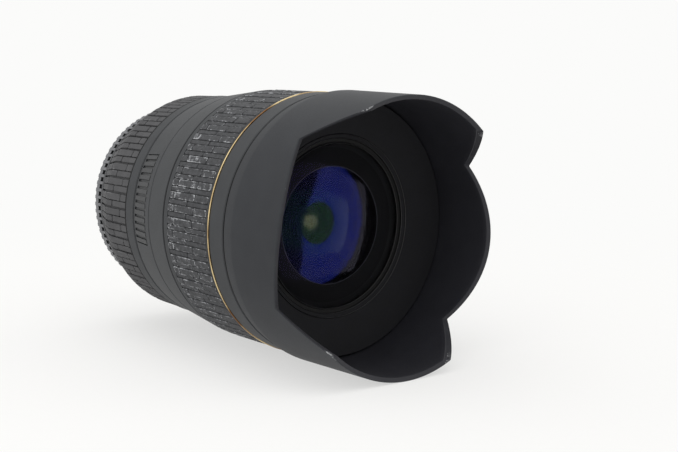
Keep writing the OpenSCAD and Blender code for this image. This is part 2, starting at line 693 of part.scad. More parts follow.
module front_element() color([0.35, 0.4, 0.6, 0.5]) placed() difference() {
    intersection() {
        glass_blank(front_glass_r, [front_web_s[1], front_apex_s + 1]);
        glass_ball(front_apex_s, front_radius, -1);
    }
    glass_ball(front_apex_s - front_glass_t, front_curves[0] * front_glass_r, -1);
}

module second_element() color([0.7, 0.8, 0.85, 0.4]) placed() difference() {
    glass_blank(second_glass_r, second_glass_s);
    glass_ball(second_glass_s[0] + second_hollows[0], second_curves[0] * second_glass_r, -1);
    glass_ball(second_glass_s[1] - second_hollows[1], second_curves[1] * second_glass_r, 1);
}

module front_retainer() color("black") placed() {
    clear_s = front_apex_s - front_radius + sqrt(pow(front_radius, 2) - pow(front_clear_r, 2)) + 0.05;
    turned([[front_glass_r, front_edge_s + 0.05], [front_glass_r, front_edge_s + 2],
            [front_clear_r + scale_edge, front_edge_s + 2], [front_clear_r, front_edge_s + 2 - scale_edge],
            [front_clear_r, clear_s]]);
}

module front_ring() color("black") placed()
    turned([[front_glass_r, front_cell_s[1]], [front_cell_r, front_cell_s[1]],
            [front_ring_r, front_cell_s[1] + front_ring_rise],
            [front_ring_r, front_cell_s[1] + front_ring_rise + front_ring_t],
            [front_glass_r, front_cell_s[1] + front_ring_t]]);

module focus_followers() color("gold") placed() followers(focus_follower_s, second_glass_r);

// Aperture ring and iris

module aperture_ring() color("gray") placed() translate([0, 0, aperture_s[0]]) difference() {
    intersection() {
        linear_extrude(height = aperture_w)
            polygon([for (i = [0 : aperture_teeth - 1], c = [0 : 3])
                let (a = 360 / aperture_teeth * (i + tooth_shares[c]))
                (aperture_r[1] + (c < 2 ? edge : -tooth_depth)) * [cos(a), sin(a)]]);
        cylinder(r1 = aperture_r[0], r2 = aperture_r[1], h = aperture_w);
    }
    translate([0, 0, -cut])
        cylinder(r = aperture_bore_r, h = aperture_w + 2 * cut);
}

module iris_lever() color("silver") placed() {
    angles = [lever_angle - lever_half, lever_angle + lever_half];
    sector(lever_r[0], aperture_bore_r, lever_s, angles);
    sector(lever_r[0], lever_r[1], [lever_s[0], rotor_plate_s[0]], angles);
}

// Place of a blade's drive pin at a share t of the aperture's turn, seen from the rotor
function drive_point(k, t) =
    let (a = blade_step * k - aperture_turn * t, b = a + blade_swing * t)
    [pivot_r * cos(a) + ear_reach * cos(b), pivot_r * sin(a) + ear_reach * sin(b)];

module drive_slot(k) {
    steps = 10;
    shares = [for (i = [0 : steps]) i / steps];
    path = [for (t = shares) drive_point(k, t)];
    outer = [for (p = path) p * (1 + drive_slot_half / norm(p))];
    inner = [for (i = [steps : -1 : 0]) path[i] * (1 - drive_slot_half / norm(path[i]))];
    polygon(concat(outer, inner));
    for (p = [path[0], path[steps]])
        translate(p) circle(r = drive_slot_half, $fn = 24);
}

module iris_rotor() color("dimgray") placed() translate([0, 0, rotor_plate_s[0]])
    linear_extrude(height = rotor_plate_s[1] - rotor_plate_s[0]) difference() {
        circle(r = lever_r[1]);
        circle(r = iris_in_r);
        for (k = [0 : BLADES - 1])
            drive_slot(k);
    }

// One blade: a crescent round the opening, an eye on its pivot and a driving ear
module iris_blade(k) color([0.1, 0.1, 0.1]) placed() rotate([0, 0, blade_step * k]) {
    s = blade_first_s + blade_pitch * k;
    translate([0, 0, s]) linear_extrude(height = blade_t) difference() {
        union() {
            intersection() {
                difference() {
                    circle(r = iris_open_r + blade_width);
                    circle(r = iris_open_r);
                }
                polygon([[0, 0], for (a = [-blade_back : (blade_span + blade_back) / 4 : blade_span])
                    hood_r * [cos(a), sin(a)]]);
            }
            translate([pivot_r - 2 * ear_half, -eye_r]) square([2 * ear_half, 2 * eye_r]);
            translate([pivot_r, 0]) circle(r = eye_r);
            translate([pivot_r, -ear_half]) square([ear_reach, 2 * ear_half]);
            translate([pivot_r + ear_reach, 0]) circle(r = ear_half);
        }
        translate([pivot_r, 0]) circle(r = pivot_hole_r);
    }
    axial_pin(drive_pin_r, pivot_r + ear_reach, 0, [rotor_plate_s[0] + 0.1, s + blade_t]);
}

module iris_blade_1() iris_blade(0);
module iris_blade_2() iris_blade(1);
module iris_blade_3() iris_blade(2);
module iris_blade_4() iris_blade(3);
module iris_blade_5() iris_blade(4);
module iris_blade_6() iris_blade(5);
module iris_blade_7() iris_blade(6);
module iris_blade_8() iris_blade(7);

// Focus switch

module focus_switch() color("darkgray") placed() {
    stem = [switch_rest_s - switch_stem_half, switch_rest_s + switch_stem_half];
    top_x = switch_seat_x + switch_plate_t + 0.25;
    switch_block([switch_seat_x + run_gap, top_x], stem, switch_slot_half - ring_gap);
    switch_block([top_x, top_x + switch_knob_h], widened(stem, 0.8), switch_knob_half);
}

bayonet_mount();
mount_screws();
contact_block();
contact_pins();
rear_barrel();
guide_tube();
tube_retainer();
scale_barrel();
distance_window();
thumb_pad();
switch_plate();
front_sleeve();
circuit_board();
motor_stator();
gold_ring();
front_barrel();
hood();
iris_plate();
zoom_ring();
zoom_grip();
zoom_key();
cam_tube();
zoom_cell();
zoom_element();
zoom_retainer();
zoom_followers();
rear_cell();
rear_element();
relay_element();
rear_retainer();
rear_followers();
focus_ring();
focus_grip();
focus_key();
focus_tube();
motor_rotor();
distance_drum();
front_cell();
front_element();
second_element();
front_retainer();
front_ring();
focus_followers();
aperture_ring();
iris_lever();
iris_rotor();
iris_blade_1();
iris_blade_2();
iris_blade_3();
iris_blade_4();
iris_blade_5();
iris_blade_6();
iris_blade_7();
iris_blade_8();
focus_switch();
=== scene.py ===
"""Wide zoom lens with a petal hood: finishes, worn grips, printed scales and studio.

Lengths are in mm and angles in degrees, unless a comment says otherwise. A station is the distance from the
mount flange towards the front. Angles about the optical axis go from the side towards the top.
"""

import logging
import math
import random
from dataclasses import dataclass, field
from enum import Enum, IntEnum
from typing import Any, Sequence

import bmesh
import bpy
from mathutils import Matrix, Vector


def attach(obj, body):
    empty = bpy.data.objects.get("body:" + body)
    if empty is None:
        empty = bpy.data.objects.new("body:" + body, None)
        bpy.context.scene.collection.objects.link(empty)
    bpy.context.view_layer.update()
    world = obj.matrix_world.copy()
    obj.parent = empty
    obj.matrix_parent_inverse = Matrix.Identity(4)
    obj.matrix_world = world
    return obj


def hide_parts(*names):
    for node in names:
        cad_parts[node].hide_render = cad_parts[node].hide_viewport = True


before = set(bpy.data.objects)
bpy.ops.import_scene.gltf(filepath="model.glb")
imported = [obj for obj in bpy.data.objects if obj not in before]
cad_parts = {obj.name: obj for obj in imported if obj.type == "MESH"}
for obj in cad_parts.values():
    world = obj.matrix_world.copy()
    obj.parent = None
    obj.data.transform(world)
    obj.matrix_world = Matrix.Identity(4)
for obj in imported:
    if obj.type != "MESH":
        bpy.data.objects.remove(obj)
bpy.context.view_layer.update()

LOG = logging.getLogger("zoom_lens")
MM = 0.001
ROLL = 9.5  # turn of the lens about its axis as it lies
TOP = 90.0  # angle of the scales on top
LENS_MIDDLE = Vector((0.0, -0.07, 0.0))  # in metres
SURROUND_WHITE = "#fbfbfa"
EVEN = (1000.0, 1000.0, 1000.0)  # scale from metres to millimetres
LATHE = (30.0, 1000.0, 30.0)  # the same along the axis, and drawn out across it
NOISE_BAND = (0.3, 0.7)  # values that a noise mostly takes
FINE_TURN = 256  # steps round the axis of thin rings
WEAR_LAYER = "wear"  # attribute that says how much a vertex is rubbed
WEAR_BAND = (0.21, 0.36)  # from where wear starts to show to where it is complete
FINE_WEAR = 0.25  # size of the small patches of wear, as a share of the wide ones
FINE_DETAIL = 3.0  # octaves of a fine noise
WORN_ROUGHNESS = 0.7
COLOUR_A, COLOUR_B, COLOUR_OUT = 6, 7, 2  # sockets of the mix node for colours
FLOAT_A, FLOAT_B = 2, 3  # and for plain values

Point = tuple[float, float]
Triple = tuple[float, float, float]
Material = bpy.types.Material
Tree = bpy.types.NodeTree
Socket = bpy.types.NodeSocket
Mesh = bmesh.types.BMesh
Piece = bpy.types.Object


class Body(Enum):
    """Bodies of the frame that carry the pieces made here."""

    BARREL = "barrel"
    ZOOM = "zoom_control"
    FOCUS = "focus_control"
    FRONT = "front_group"
    MIDDLE = "zoom_group"
    APERTURE = "aperture_control"


class Side(IntEnum):
    """Material indices of the hood."""

    OUTSIDE = 0
    INSIDE = 1


class Tone(IntEnum):
    """Material indices of a ring: the part that catches the light and the part kept dark, by black trim or by
    painted shade.
    """

    BRIGHT = 0
    DARK = 1


class Zone(IntEnum):
    """Material indices of a lens element."""

    FRONT = 0
    REAR = 1
    PAINT = 2
    CORE = 3
    PALE_EDGE = 4


def linear(colour: str) -> tuple[float, float, float, float]:
    """Turns an sRGB hex colour to linear light.

    Args:
        colour: Six hex digits after a hash sign.

    Returns:
        Linear red, green, blue and an alpha of one.
    """
    parts = [int(colour[i:i + 2], 16) / 255 for i in (1, 3, 5)]
    red, green, blue = (p / 12.92 if p <= 0.04045 else ((p + 0.055) / 1.055) ** 2.4 for p in parts)
    return red, green, blue, 1.0


def new_material(name: str) -> tuple[Material, Tree]:
    """Starts an empty material.

    Args:
        name: Name of the material.

    Returns:
        The material and its node tree.
    """
    material = bpy.data.materials.new(name)
    material.use_nodes = True
    material.node_tree.nodes.clear()
    return material, material.node_tree


def add_node(tree: Tree, kind: str, settings: dict[Any, Any] | None = None,
             links: dict[Any, Socket] | None = None) -> bpy.types.Node:
    """Adds one shader node with its settings and links.

    Args:
        tree: Node tree that gets the node.
        kind: Type name of the node.
        settings: Property or input, by name or index, to its value.
        links: Input, by name or index, to the socket that feeds it.

    Returns:
        The new node.
    """
    node = tree.nodes.new(kind)
    for key, value in (settings or {}).items():
        if isinstance(key, int) or key in node.inputs:
            node.inputs[key].default_value = value
        else:
            setattr(node, key, value)
    for key, socket in (links or {}).items():
        tree.links.new(socket, node.inputs[key])
    return node


def seen_rays(tree: Tree) -> Socket:
    """Tells rays that show a backdrop from rays that carry its light.

    Args:
        tree: Node tree that asks.

    Returns:
        A socket that is one for camera, mirror and glass rays.
    """
    rays = add_node(tree, "ShaderNodeLightPath").outputs
    seen = rays["Is Camera Ray"]
    for kind in ("Is Glossy Ray", "Is Transmission Ray"):
        either = add_node(tree, "ShaderNodeMath", {"operation": "MAXIMUM"}, {0: seen, 1: rays[kind]})
        seen = either.outputs[0]
    return seen


def at(radius: float, angle: float, station: float) -> Vector:
    """Gives a point of the lens in the frame, in metres, from radius, angle and station."""
    turn = math.radians(angle - ROLL)
    return Vector((radius * math.cos(turn), -station, radius * math.sin(turn))) * MM


def shifted(points: Sequence[Point], radius: float, station: float) -> list[Point]:
    """Gives points that are measured from a corner their own radius and station."""
    return [(radius + r, station + s) for r, s in points]


class Coat:
    """What a surface is made of: a material that is built once."""

    name: str

    def material(self) -> Material:
        """Builds the material once, and gives the same one afterwards."""
        return bpy.data.materials.get(self.name) or self.build()

    def build(self) -> Material:
        """Makes the material, for each kind of coat in its own way."""
        raise NotImplementedError


@dataclass(frozen=True)
class Finish(Coat):
    """A surface: mottled colour, uneven gloss and a fine grain in relief."""

    name: str
    colour: str
    tone: str
    roughness: float
    rough_swing: float = 0.06
    metallic: float = 0.0
    ior: float = 1.5
    mottle_mm: float = 7.0
    mottle_band: Point = NOISE_BAND
    mottle_detail: float = 5.0
    grain_mm: float = 0.3
    grain_depth_mm: float = 0.01
    grain_strength: float = 0.6
    turned: bool = False
    wear: str = ""
    wear_mm: float = 1.5
    wear_gain: float = 1.0
    sheen: float = 0.0

    def build(self) -> Material:
        """Makes the node tree.

        Returns:
            The new material.
        """
        material, tree = new_material(self.name)
        where = add_node(tree, "ShaderNodeTexCoord").outputs["Object"]
        in_mm = add_node(tree, "ShaderNodeMapping", {"Scale": EVEN}, {"Vector": where}).outputs[0]
        # Turned metal has fine lines that run round the axis, other surfaces have an even grain.
        stretch = LATHE if self.turned else EVEN
        lines = add_node(tree, "ShaderNodeMapping", {"Scale": stretch}, {"Vector": where}).outputs[0]
        mottle = add_node(tree, "ShaderNodeTexNoise",
                          {"Scale": 1 / self.mottle_mm, "Detail": self.mottle_detail}, {"Vector": in_mm})
        grain = add_node(tree, "ShaderNodeTexNoise", {"Scale": 1 / self.grain_mm, "Detail": FINE_DETAIL},
                         {"Vector": lines}).outputs[0]
        share = add_node(tree, "ShaderNodeMapRange",
                         {"From Min": self.mottle_band[0], "From Max": self.mottle_band[1]},
                         {"Value": mottle.outputs[0]})
        colour = add_node(tree, "ShaderNodeMix",
                          {"data_type": "RGBA", COLOUR_A: linear(self.colour), COLOUR_B: linear(self.tone)},
                          {0: share.outputs[0]}).outputs[COLOUR_OUT]
        rough = add_node(tree, "ShaderNodeMapRange",
                         {"From Min": NOISE_BAND[0], "From Max": NOISE_BAND[1],
                          "To Min": self.roughness - self.rough_swing,
                          "To Max": self.roughness + self.rough_swing}, {"Value": grain}).outputs[0]
        if self.wear:
            colour, rough = self.worn(tree, in_mm, colour, rough)
        bump = add_node(tree, "ShaderNodeBump",
                        {"Strength": self.grain_strength, "Distance": self.grain_depth_mm * MM},
                        {"Height": grain})
        shader = add_node(tree, "ShaderNodeBsdfPrincipled",
                          {"Metallic": self.metallic, "IOR": self.ior, "Sheen Weight": self.sheen},
                          {"Base Color": colour, "Roughness": rough, "Normal": bump.outputs[0]})
        add_node(tree, "ShaderNodeOutputMaterial", None, {"Surface": shader.outputs[0]})
        return material

    def worn(self, tree: Tree, in_mm: Socket, colour: Socket, rough: Socket) -> tuple[Socket, Socket]:
        """Rubs the surface pale where its wear attribute and a patchy noise meet.

        Args:
            tree: Node tree of the material.
            in_mm: Place on the object.
            colour: Colour of the sound surface.
            rough: Roughness of the sound surface.

        Returns:
            Colour and roughness with the wear.
        """
        marks = add_node(tree, "ShaderNodeAttribute", {"attribute_name": WEAR_LAYER}).outputs["Fac"]
        for size in (self.wear_mm, self.wear_mm * FINE_WEAR):
            patches = add_node(tree, "ShaderNodeTexNoise", {"Scale": 1 / size, "Detail": FINE_DETAIL},
                               {"Vector": in_mm})
            marks = add_node(tree, "ShaderNodeMath", {"operation": "MULTIPLY"},
                             {0: marks, 1: patches.outputs[0]}).outputs[0]
        share = add_node(tree, "ShaderNodeMapRange",
                         {"From Min": WEAR_BAND[0], "From Max": WEAR_BAND[1], "To Max": self.wear_gain},
                         {"Value": marks}).outputs[0]
        pale = add_node(tree, "ShaderNodeMix", {"data_type": "RGBA", COLOUR_B: linear(self.wear)},
                        {0: share, COLOUR_A: colour})
        dull = add_node(tree, "ShaderNodeMix", {"data_type": "FLOAT", FLOAT_B: WORN_ROUGHNESS},
                        {0: share, FLOAT_A: rough})
        return pale.outputs[COLOUR_OUT], dull.outputs[0]


@dataclass(frozen=True)
class Glass(Coat):
    """Ground and polished glass with a coating that tints what it reflects."""

    name: str
    body: str
    coating: str
    ior: float
    haze: float = 0.085
    dust: float = 0.06
    dust_colour: str = "#303030"
    dust_mm: float = 0.8
    dust_band: Point = (0.4, 0.7)
    dust_detail: float = 4.0

    def build(self) -> Material:
        """Makes the node tree.

        Returns:
            The new material.
        """
        material, tree = new_material(self.name)
        where = add_node(tree, "ShaderNodeTexCoord").outputs["Object"]
        # Fine dust, finer than a pixel and so drawn coarser, takes a little of the light.
        dust = add_node(tree, "ShaderNodeTexNoise",
                        {"Scale": 1 / (self.dust_mm * MM), "Detail": self.dust_detail}, {"Vector": where})
        share = add_node(tree, "ShaderNodeMapRange",
                         {"From Min": self.dust_band[0], "From Max": self.dust_band[1], "To Max": self.dust},
                         {"Value": dust.outputs[0]})
        body = add_node(tree, "ShaderNodeMix",
                        {"data_type": "RGBA", COLOUR_A: linear(self.body),
                         COLOUR_B: linear(self.dust_colour)}, {0: share.outputs[0]})
        shader = add_node(tree, "ShaderNodeBsdfPrincipled",
                          {"Transmission Weight": 1.0, "IOR": self.ior, "Roughness": self.haze,
                           "Specular Tint": linear(self.coating)},
                          {"Base Color": body.outputs[COLOUR_OUT]})
        add_node(tree, "ShaderNodeOutputMaterial", None, {"Surface": shader.outputs[0]})
        return material


@dataclass(frozen=True)
class Paper(Coat):
    """White paper sweep with a painted glow, seen only by camera, mirror and glass rays, that meets the white
    surround.

    The glow grows from near to far, which are metres from the middle of the lens; near the lens it is painted
    light that pales the floor and the lens's shadow on it.
    """

    name: str
    colour: str = "#faf9f8"
    tone: str = "#f5f4f2"
    fibre_mm: float = 1.0
    near: float = 0.1
    far: float = 0.4
    lift: float = 0.6

    def build(self) -> Material:
        """Makes the node tree.

        Returns:
            The new material.
        """
        material, tree = new_material(self.name)
        where = add_node(tree, "ShaderNodeNewGeometry").outputs["Position"]
        away = add_node(tree, "ShaderNodeVectorMath", {"operation": "DISTANCE", 1: LENS_MIDDLE}, {0: where})
        # From near to far the painted glow grows to the whole; near the lens it pales the lens's shadow, as
        # painted light.
        share = add_node(tree, "ShaderNodeMapRange",
                         {"From Min": self.near, "From Max": self.far, "To Min": self.lift,
                          "interpolation_type": "SMOOTHSTEP"}, {"Value": away.outputs["Value"]})
        # Fibres give the paper its slight tooth.
        fibre = add_node(tree, "ShaderNodeTexNoise",
                         {"Scale": 1 / (self.fibre_mm * MM), "Detail": FINE_DETAIL}, {"Vector": where})
        tone = add_node(tree, "ShaderNodeMix",
                        {"data_type": "RGBA", COLOUR_A: linear(self.colour), COLOUR_B: linear(self.tone)},
                        {0: fibre.outputs[0]})
        sheet = add_node(tree, "ShaderNodeBsdfDiffuse", None, {"Color": tone.outputs[COLOUR_OUT]})
        glow = add_node(tree, "ShaderNodeEmission", {"Color": linear(SURROUND_WHITE), "Strength": 1.0})
        shown = add_node(tree, "ShaderNodeMath", {"operation": "MULTIPLY"},
                         {0: share.outputs[0], 1: seen_rays(tree)})
        lit = add_node(tree, "ShaderNodeMixShader", None,
                       {0: shown.outputs[0], 1: sheet.outputs[0], 2: glow.outputs[0]})
        add_node(tree, "ShaderNodeOutputMaterial", None, {"Surface": lit.outputs[0]})
        return material


# Glass-filled polycarbonate, moulded and sprayed with a matt lacquer: charcoal with a fine even tooth.
LACQUER = Finish("lacquered_polycarbonate", "#2e3033", "#343639", 0.56, ior=1.45, grain_mm=0.28,
                 grain_depth_mm=0.012)
# Moulded ABS of the hood, a shade darker and smoother, rubbed to grey at the corners of its petals.
HOOD_OUTSIDE = Finish("moulded_abs_satin", "#282a2e", "#2c2e32", 0.56, ior=1.36, grain_mm=0.25,
                      grain_depth_mm=0.008, wear="#a5a6a8", wear_mm=2.2)
# The inside of the hood as it left the mould, eroded dull: black that greys a little where light grazes it.
HOOD_INSIDE = Finish("moulded_abs_dull", "#1f1f25", "#24242a", 0.62, ior=1.45, grain_mm=0.35,
                     grain_depth_mm=0.015, wear="#8f9092", wear_mm=2.2)
# Dead-black paint on the ring round the glass: hardly any sheen.
MATT_BLACK = Finish("matt_black_paint", "#08080d", "#0b0b11", 0.62, ior=1.3, grain_mm=0.35,
                    grain_depth_mm=0.012)
# Satin black anodised aluminium of the ring that holds the front glass.
BLACK_ANODISED = Finish("black_anodised_aluminium", "#0e0e10", "#151518", 0.34, turned=True, grain_mm=0.4,
                        grain_depth_mm=0.006)
# Moulded nitrile rubber, gone grey and chalky along the edges that hands rub; the rear grip is rubbed less.
FRONT_RUBBER = Finish("moulded_rubber_worn", "#2a2b2e", "#46474a", 0.74, ior=1.45, mottle_mm=1.1,
                      grain_depth_mm=0.02, wear="#b8babe", wear_mm=1.3, wear_gain=0.8, sheen=0.06)
REAR_RUBBER = Finish("moulded_rubber", "#454547", "#4e4e50", 0.76, ior=1.45, mottle_mm=4.0,
                     grain_depth_mm=0.02, wear="#808183", wear_mm=2.0, wear_gain=0.7)
# Gold anodised aluminium, turned: a warm metal line round the barrel, which a slow mottle makes pale here and
# brown there as painted highlight and painted shade.
GOLD_PAINTED_LIGHT = Finish("gold_anodised_painted_light", "#ead3a2", "#7a5531", 0.22, metallic=1.0, turned=True,
              mottle_mm=22.0, mottle_band=(0.42, 0.58), grain_mm=0.5, grain_depth_mm=0.004)
# Chromed brass, fine turned: the mount that meets the camera.
CHROME = Finish("chromed_brass", "#d8d8d6", "#c6c6c5", 0.2, metallic=1.0, turned=True, grain_mm=0.4,
                grain_depth_mm=0.003)
# Zinc-plated steel of screws, keys and levers.
STEEL = Finish("plated_steel", "#b9babb", "#a5a6a8", 0.3, metallic=1.0, grain_mm=0.5, grain_depth_mm=0.003)
# Gold plate on contact pins and followers: small warm points of light.
PLATED_GOLD = Finish("gold_plate", "#e0b865", "#d1a64f", 0.22, metallic=1.0, grain_mm=0.5,
                     grain_depth_mm=0.002)
# Blackened aluminium of cells and tubes inside: next to no light comes back from it.
BLACKENED = Finish("blackened_aluminium", "#101011", "#161618", 0.6, ior=1.35, turned=True, grain_mm=0.5,
                   grain_depth_mm=0.006)
# Black paint on the rims of the glass, seen through the glass as a dark ring; the same black at the bottom of
# seams and on the retainer's walls and valleys is painted shade.
EDGE_PAINT_AND_SHADE = Finish("black_edge_paint_and_painted_shade", "#070708", "#0a0a0b", 0.6, ior=1.3, grain_mm=0.4, grain_depth_mm=0.004)
# A thin pale ring at the edge of a hollow: a painted highlight, standing for the light that its edge catches.
EDGE_HIGHLIGHT = Finish("hollow_edge_painted_highlight", "#42424f", "#2a2a32", 0.5, mottle_mm=5.0)
# Bare turned aluminium of the cam tubes.
ALUMINIUM = Finish("turned_aluminium", "#8f9194", "#83858a", 0.34, metallic=1.0, turned=True, grain_mm=0.4,
                   grain_depth_mm=0.004)
# Moulded plastic of the toothed ring, painted grey for the light that its teeth catch: a painted highlight,
# the lightest band on the outside.
TOOTH_HIGHLIGHT_GREY = Finish("moulded_plastic_painted_highlight", "#66676a", "#727376", 0.5, grain_mm=0.4, grain_depth_mm=0.008)
# Painted shade in the notches of that ring: near-black, where shade falls between the teeth.
NOTCH_SHADE = Finish("notch_painted_shade", "#191a1c", "#222325", 0.8, ior=1.3, mottle_mm=0.8)
# Moulded plastic of small trim: black for the contact block and the pad, grey for the switch.
TRIM_PLASTIC = Finish("moulded_plastic_black", "#333436", "#3a3b3d", 0.55)
SWITCH_PLASTIC = Finish("moulded_plastic_grey", "#6a6b6d", "#737476", 0.45, grain_depth_mm=0.008)
# Green glass-fibre board, enamelled copper winding and sprung steel blades.
BOARD = Finish("glass_fibre_board", "#1f4a2c", "#275536", 0.4, mottle_mm=1.5, grain_mm=0.5)
WINDING = Finish("enamelled_copper", "#a4622f", "#8c4f24", 0.35, metallic=0.8, turned=True, grain_mm=0.5)
BLADE = Finish("blued_steel", "#1b1b1e", "#232327", 0.42, metallic=0.4, grain_mm=0.4)
# White screen print of the scales, a little uneven.
WHITE_PRINT = Finish("white_screen_print", "#d9d9d6", "#cfcfcb", 0.6, mottle_mm=1.2)
# Black moulded drum behind the distance window.
DRUM = Finish("moulded_drum_black", "#232325", "#2a2a2c", 0.55, grain_mm=0.4)

# Coated optical glass: what each surface reflects takes the colour of its coating. The coatings have
# gone a little hazy, so the edges of what they reflect are soft.
FRONT_GLASS = Glass("coated_glass_violet", "#f2f3fa", "#3a2c6e", 1.52)
INNER_GLASS = Glass("coated_glass_green", "#e8efe6", "#2c6a42", 1.52)
# The hollow of the second glass shows blue.
BLUE_GLASS = Glass("coated_glass_blue", "#a9b6d8", "#0838ff", 1.88)
# Where the coating runs thinner, in the middle of the hollow, it gives back green.
CORE_GLASS = Glass("coated_glass_core", "#e8efe6", "#2a8a46", 1.52)
STRAW_GLASS = Glass("coated_glass_straw", "#a9b6d8", "#fff0c4", 2.0, haze=0.15)
LIME_GLASS = Glass("coated_glass_lime", "#6f7a76", "#8fc060", 1.9)
DEEP_GLASS = Glass("coated_glass_deep", "#6f7a76", "#3f7a62", 1.7)
MAGENTA_GLASS = Glass("coated_glass_magenta", "#b8b4c0", "#8a4a86", 1.6)
# Clear acrylic of the distance window: no tint.
ACRYLIC = Glass("clear_acrylic", "#f7fbfb", "#ffffff", 1.49)

NODE_FINISHES: dict[Coat, str] = {
    LACQUER: "scale_barrel front_barrel zoom_ring focus_ring",
    MATT_BLACK: "front_ring",
    CHROME: "bayonet_mount",
    STEEL: "mount_screws zoom_key focus_key iris_lever motor_rotor",
    PLATED_GOLD: "contact_pins rear_followers zoom_followers focus_followers",
    BLACKENED: "rear_barrel guide_tube tube_retainer front_sleeve iris_plate zoom_cell zoom_retainer "
               "rear_cell rear_retainer front_cell iris_rotor",
    ALUMINIUM: "cam_tube focus_tube",
    TRIM_PLASTIC: "contact_block switch_plate thumb_pad",
    SWITCH_PLASTIC: "focus_switch",
    BOARD: "circuit_board",
    WINDING: "motor_stator",
    BLADE: " ".join(f"iris_blade_{k}" for k in range(1, 9)),
    DRUM: "distance_drum",
    DEEP_GLASS: "relay_element",
    MAGENTA_GLASS: "rear_element",
    ACRYLIC: "distance_window",
}


def finish_mesh(name: str, mesh: Mesh, coats: Sequence[Coat], sharp: float = 35.0) -> Piece:
    """Turns built geometry to a smooth-shaded object.

    Args:
        name: Name of the piece.
        mesh: Geometry in metres; it is freed.
        coats: Coats in the order of the faces' material indices.
        sharp: Angle above which an edge stays sharp.

    Returns:
        The new object.
    """
    bmesh.ops.recalc_face_normals(mesh, faces=mesh.faces)
    data = bpy.data.meshes.new(name)
    mesh.to_mesh(data)
    mesh.free()
    data.shade_smooth()
    data.set_sharp_from_angle(angle=math.radians(sharp))
    for coat in coats:
        data.materials.append(coat.material())
    piece = bpy.data.objects.new(name, data)
    bpy.context.scene.collection.objects.link(piece)
    return piece


def bridge(mesh: Mesh, first: Sequence[Any], second: Sequence[Any], closed: bool,
           indices: Sequence[int] = ()) -> None:
    """Joins two rows of vertices with quads.

    Args:
        mesh: Geometry that gets the faces.
        first: One row of vertices.
        second: The other row, of the same length.
        closed: Whether the rows are loops.
        indices: Material index of the quad after each vertex, or none for the first material.
    """
    count = len(first)
    for i in range(count if closed else count - 1):
        j = (i + 1) % count
        face = mesh.faces.new((first[i], first[j], second[j], second[i]))
        face.material_index = indices[i] if indices else 0


def add_turned(mesh: Mesh, outline: Sequence[Point], indices: Sequence[int] = (),
               segments: int = 192) -> None:
    """Adds a closed solid of revolution.

    Args:
        mesh: Geometry that gets the solid.
        outline: Closed outline of radius and station; a radius of zero is a point on the axis.
        indices: Material index of the band after each point, or none for the first material.
        segments: Steps round the axis.
    """
    rings = [[mesh.verts.new(at(r, 360 * i / segments, s)) for i in range(segments if r > 0 else 1)]
             for r, s in outline]
    for k, (first, second) in enumerate(zip(rings, rings[1:] + rings[:1])):
        if len(first) == len(second) == 1:
            continue
        for i in range(segments):
            j = (i + 1) % segments
            corners = [first[i % len(first)], first[j % len(first)],
                       second[j % len(second)], second[i % len(second)]]
            mesh.faces.new(list(dict.fromkeys(corners))).material_index = indices[k] if indices else 0


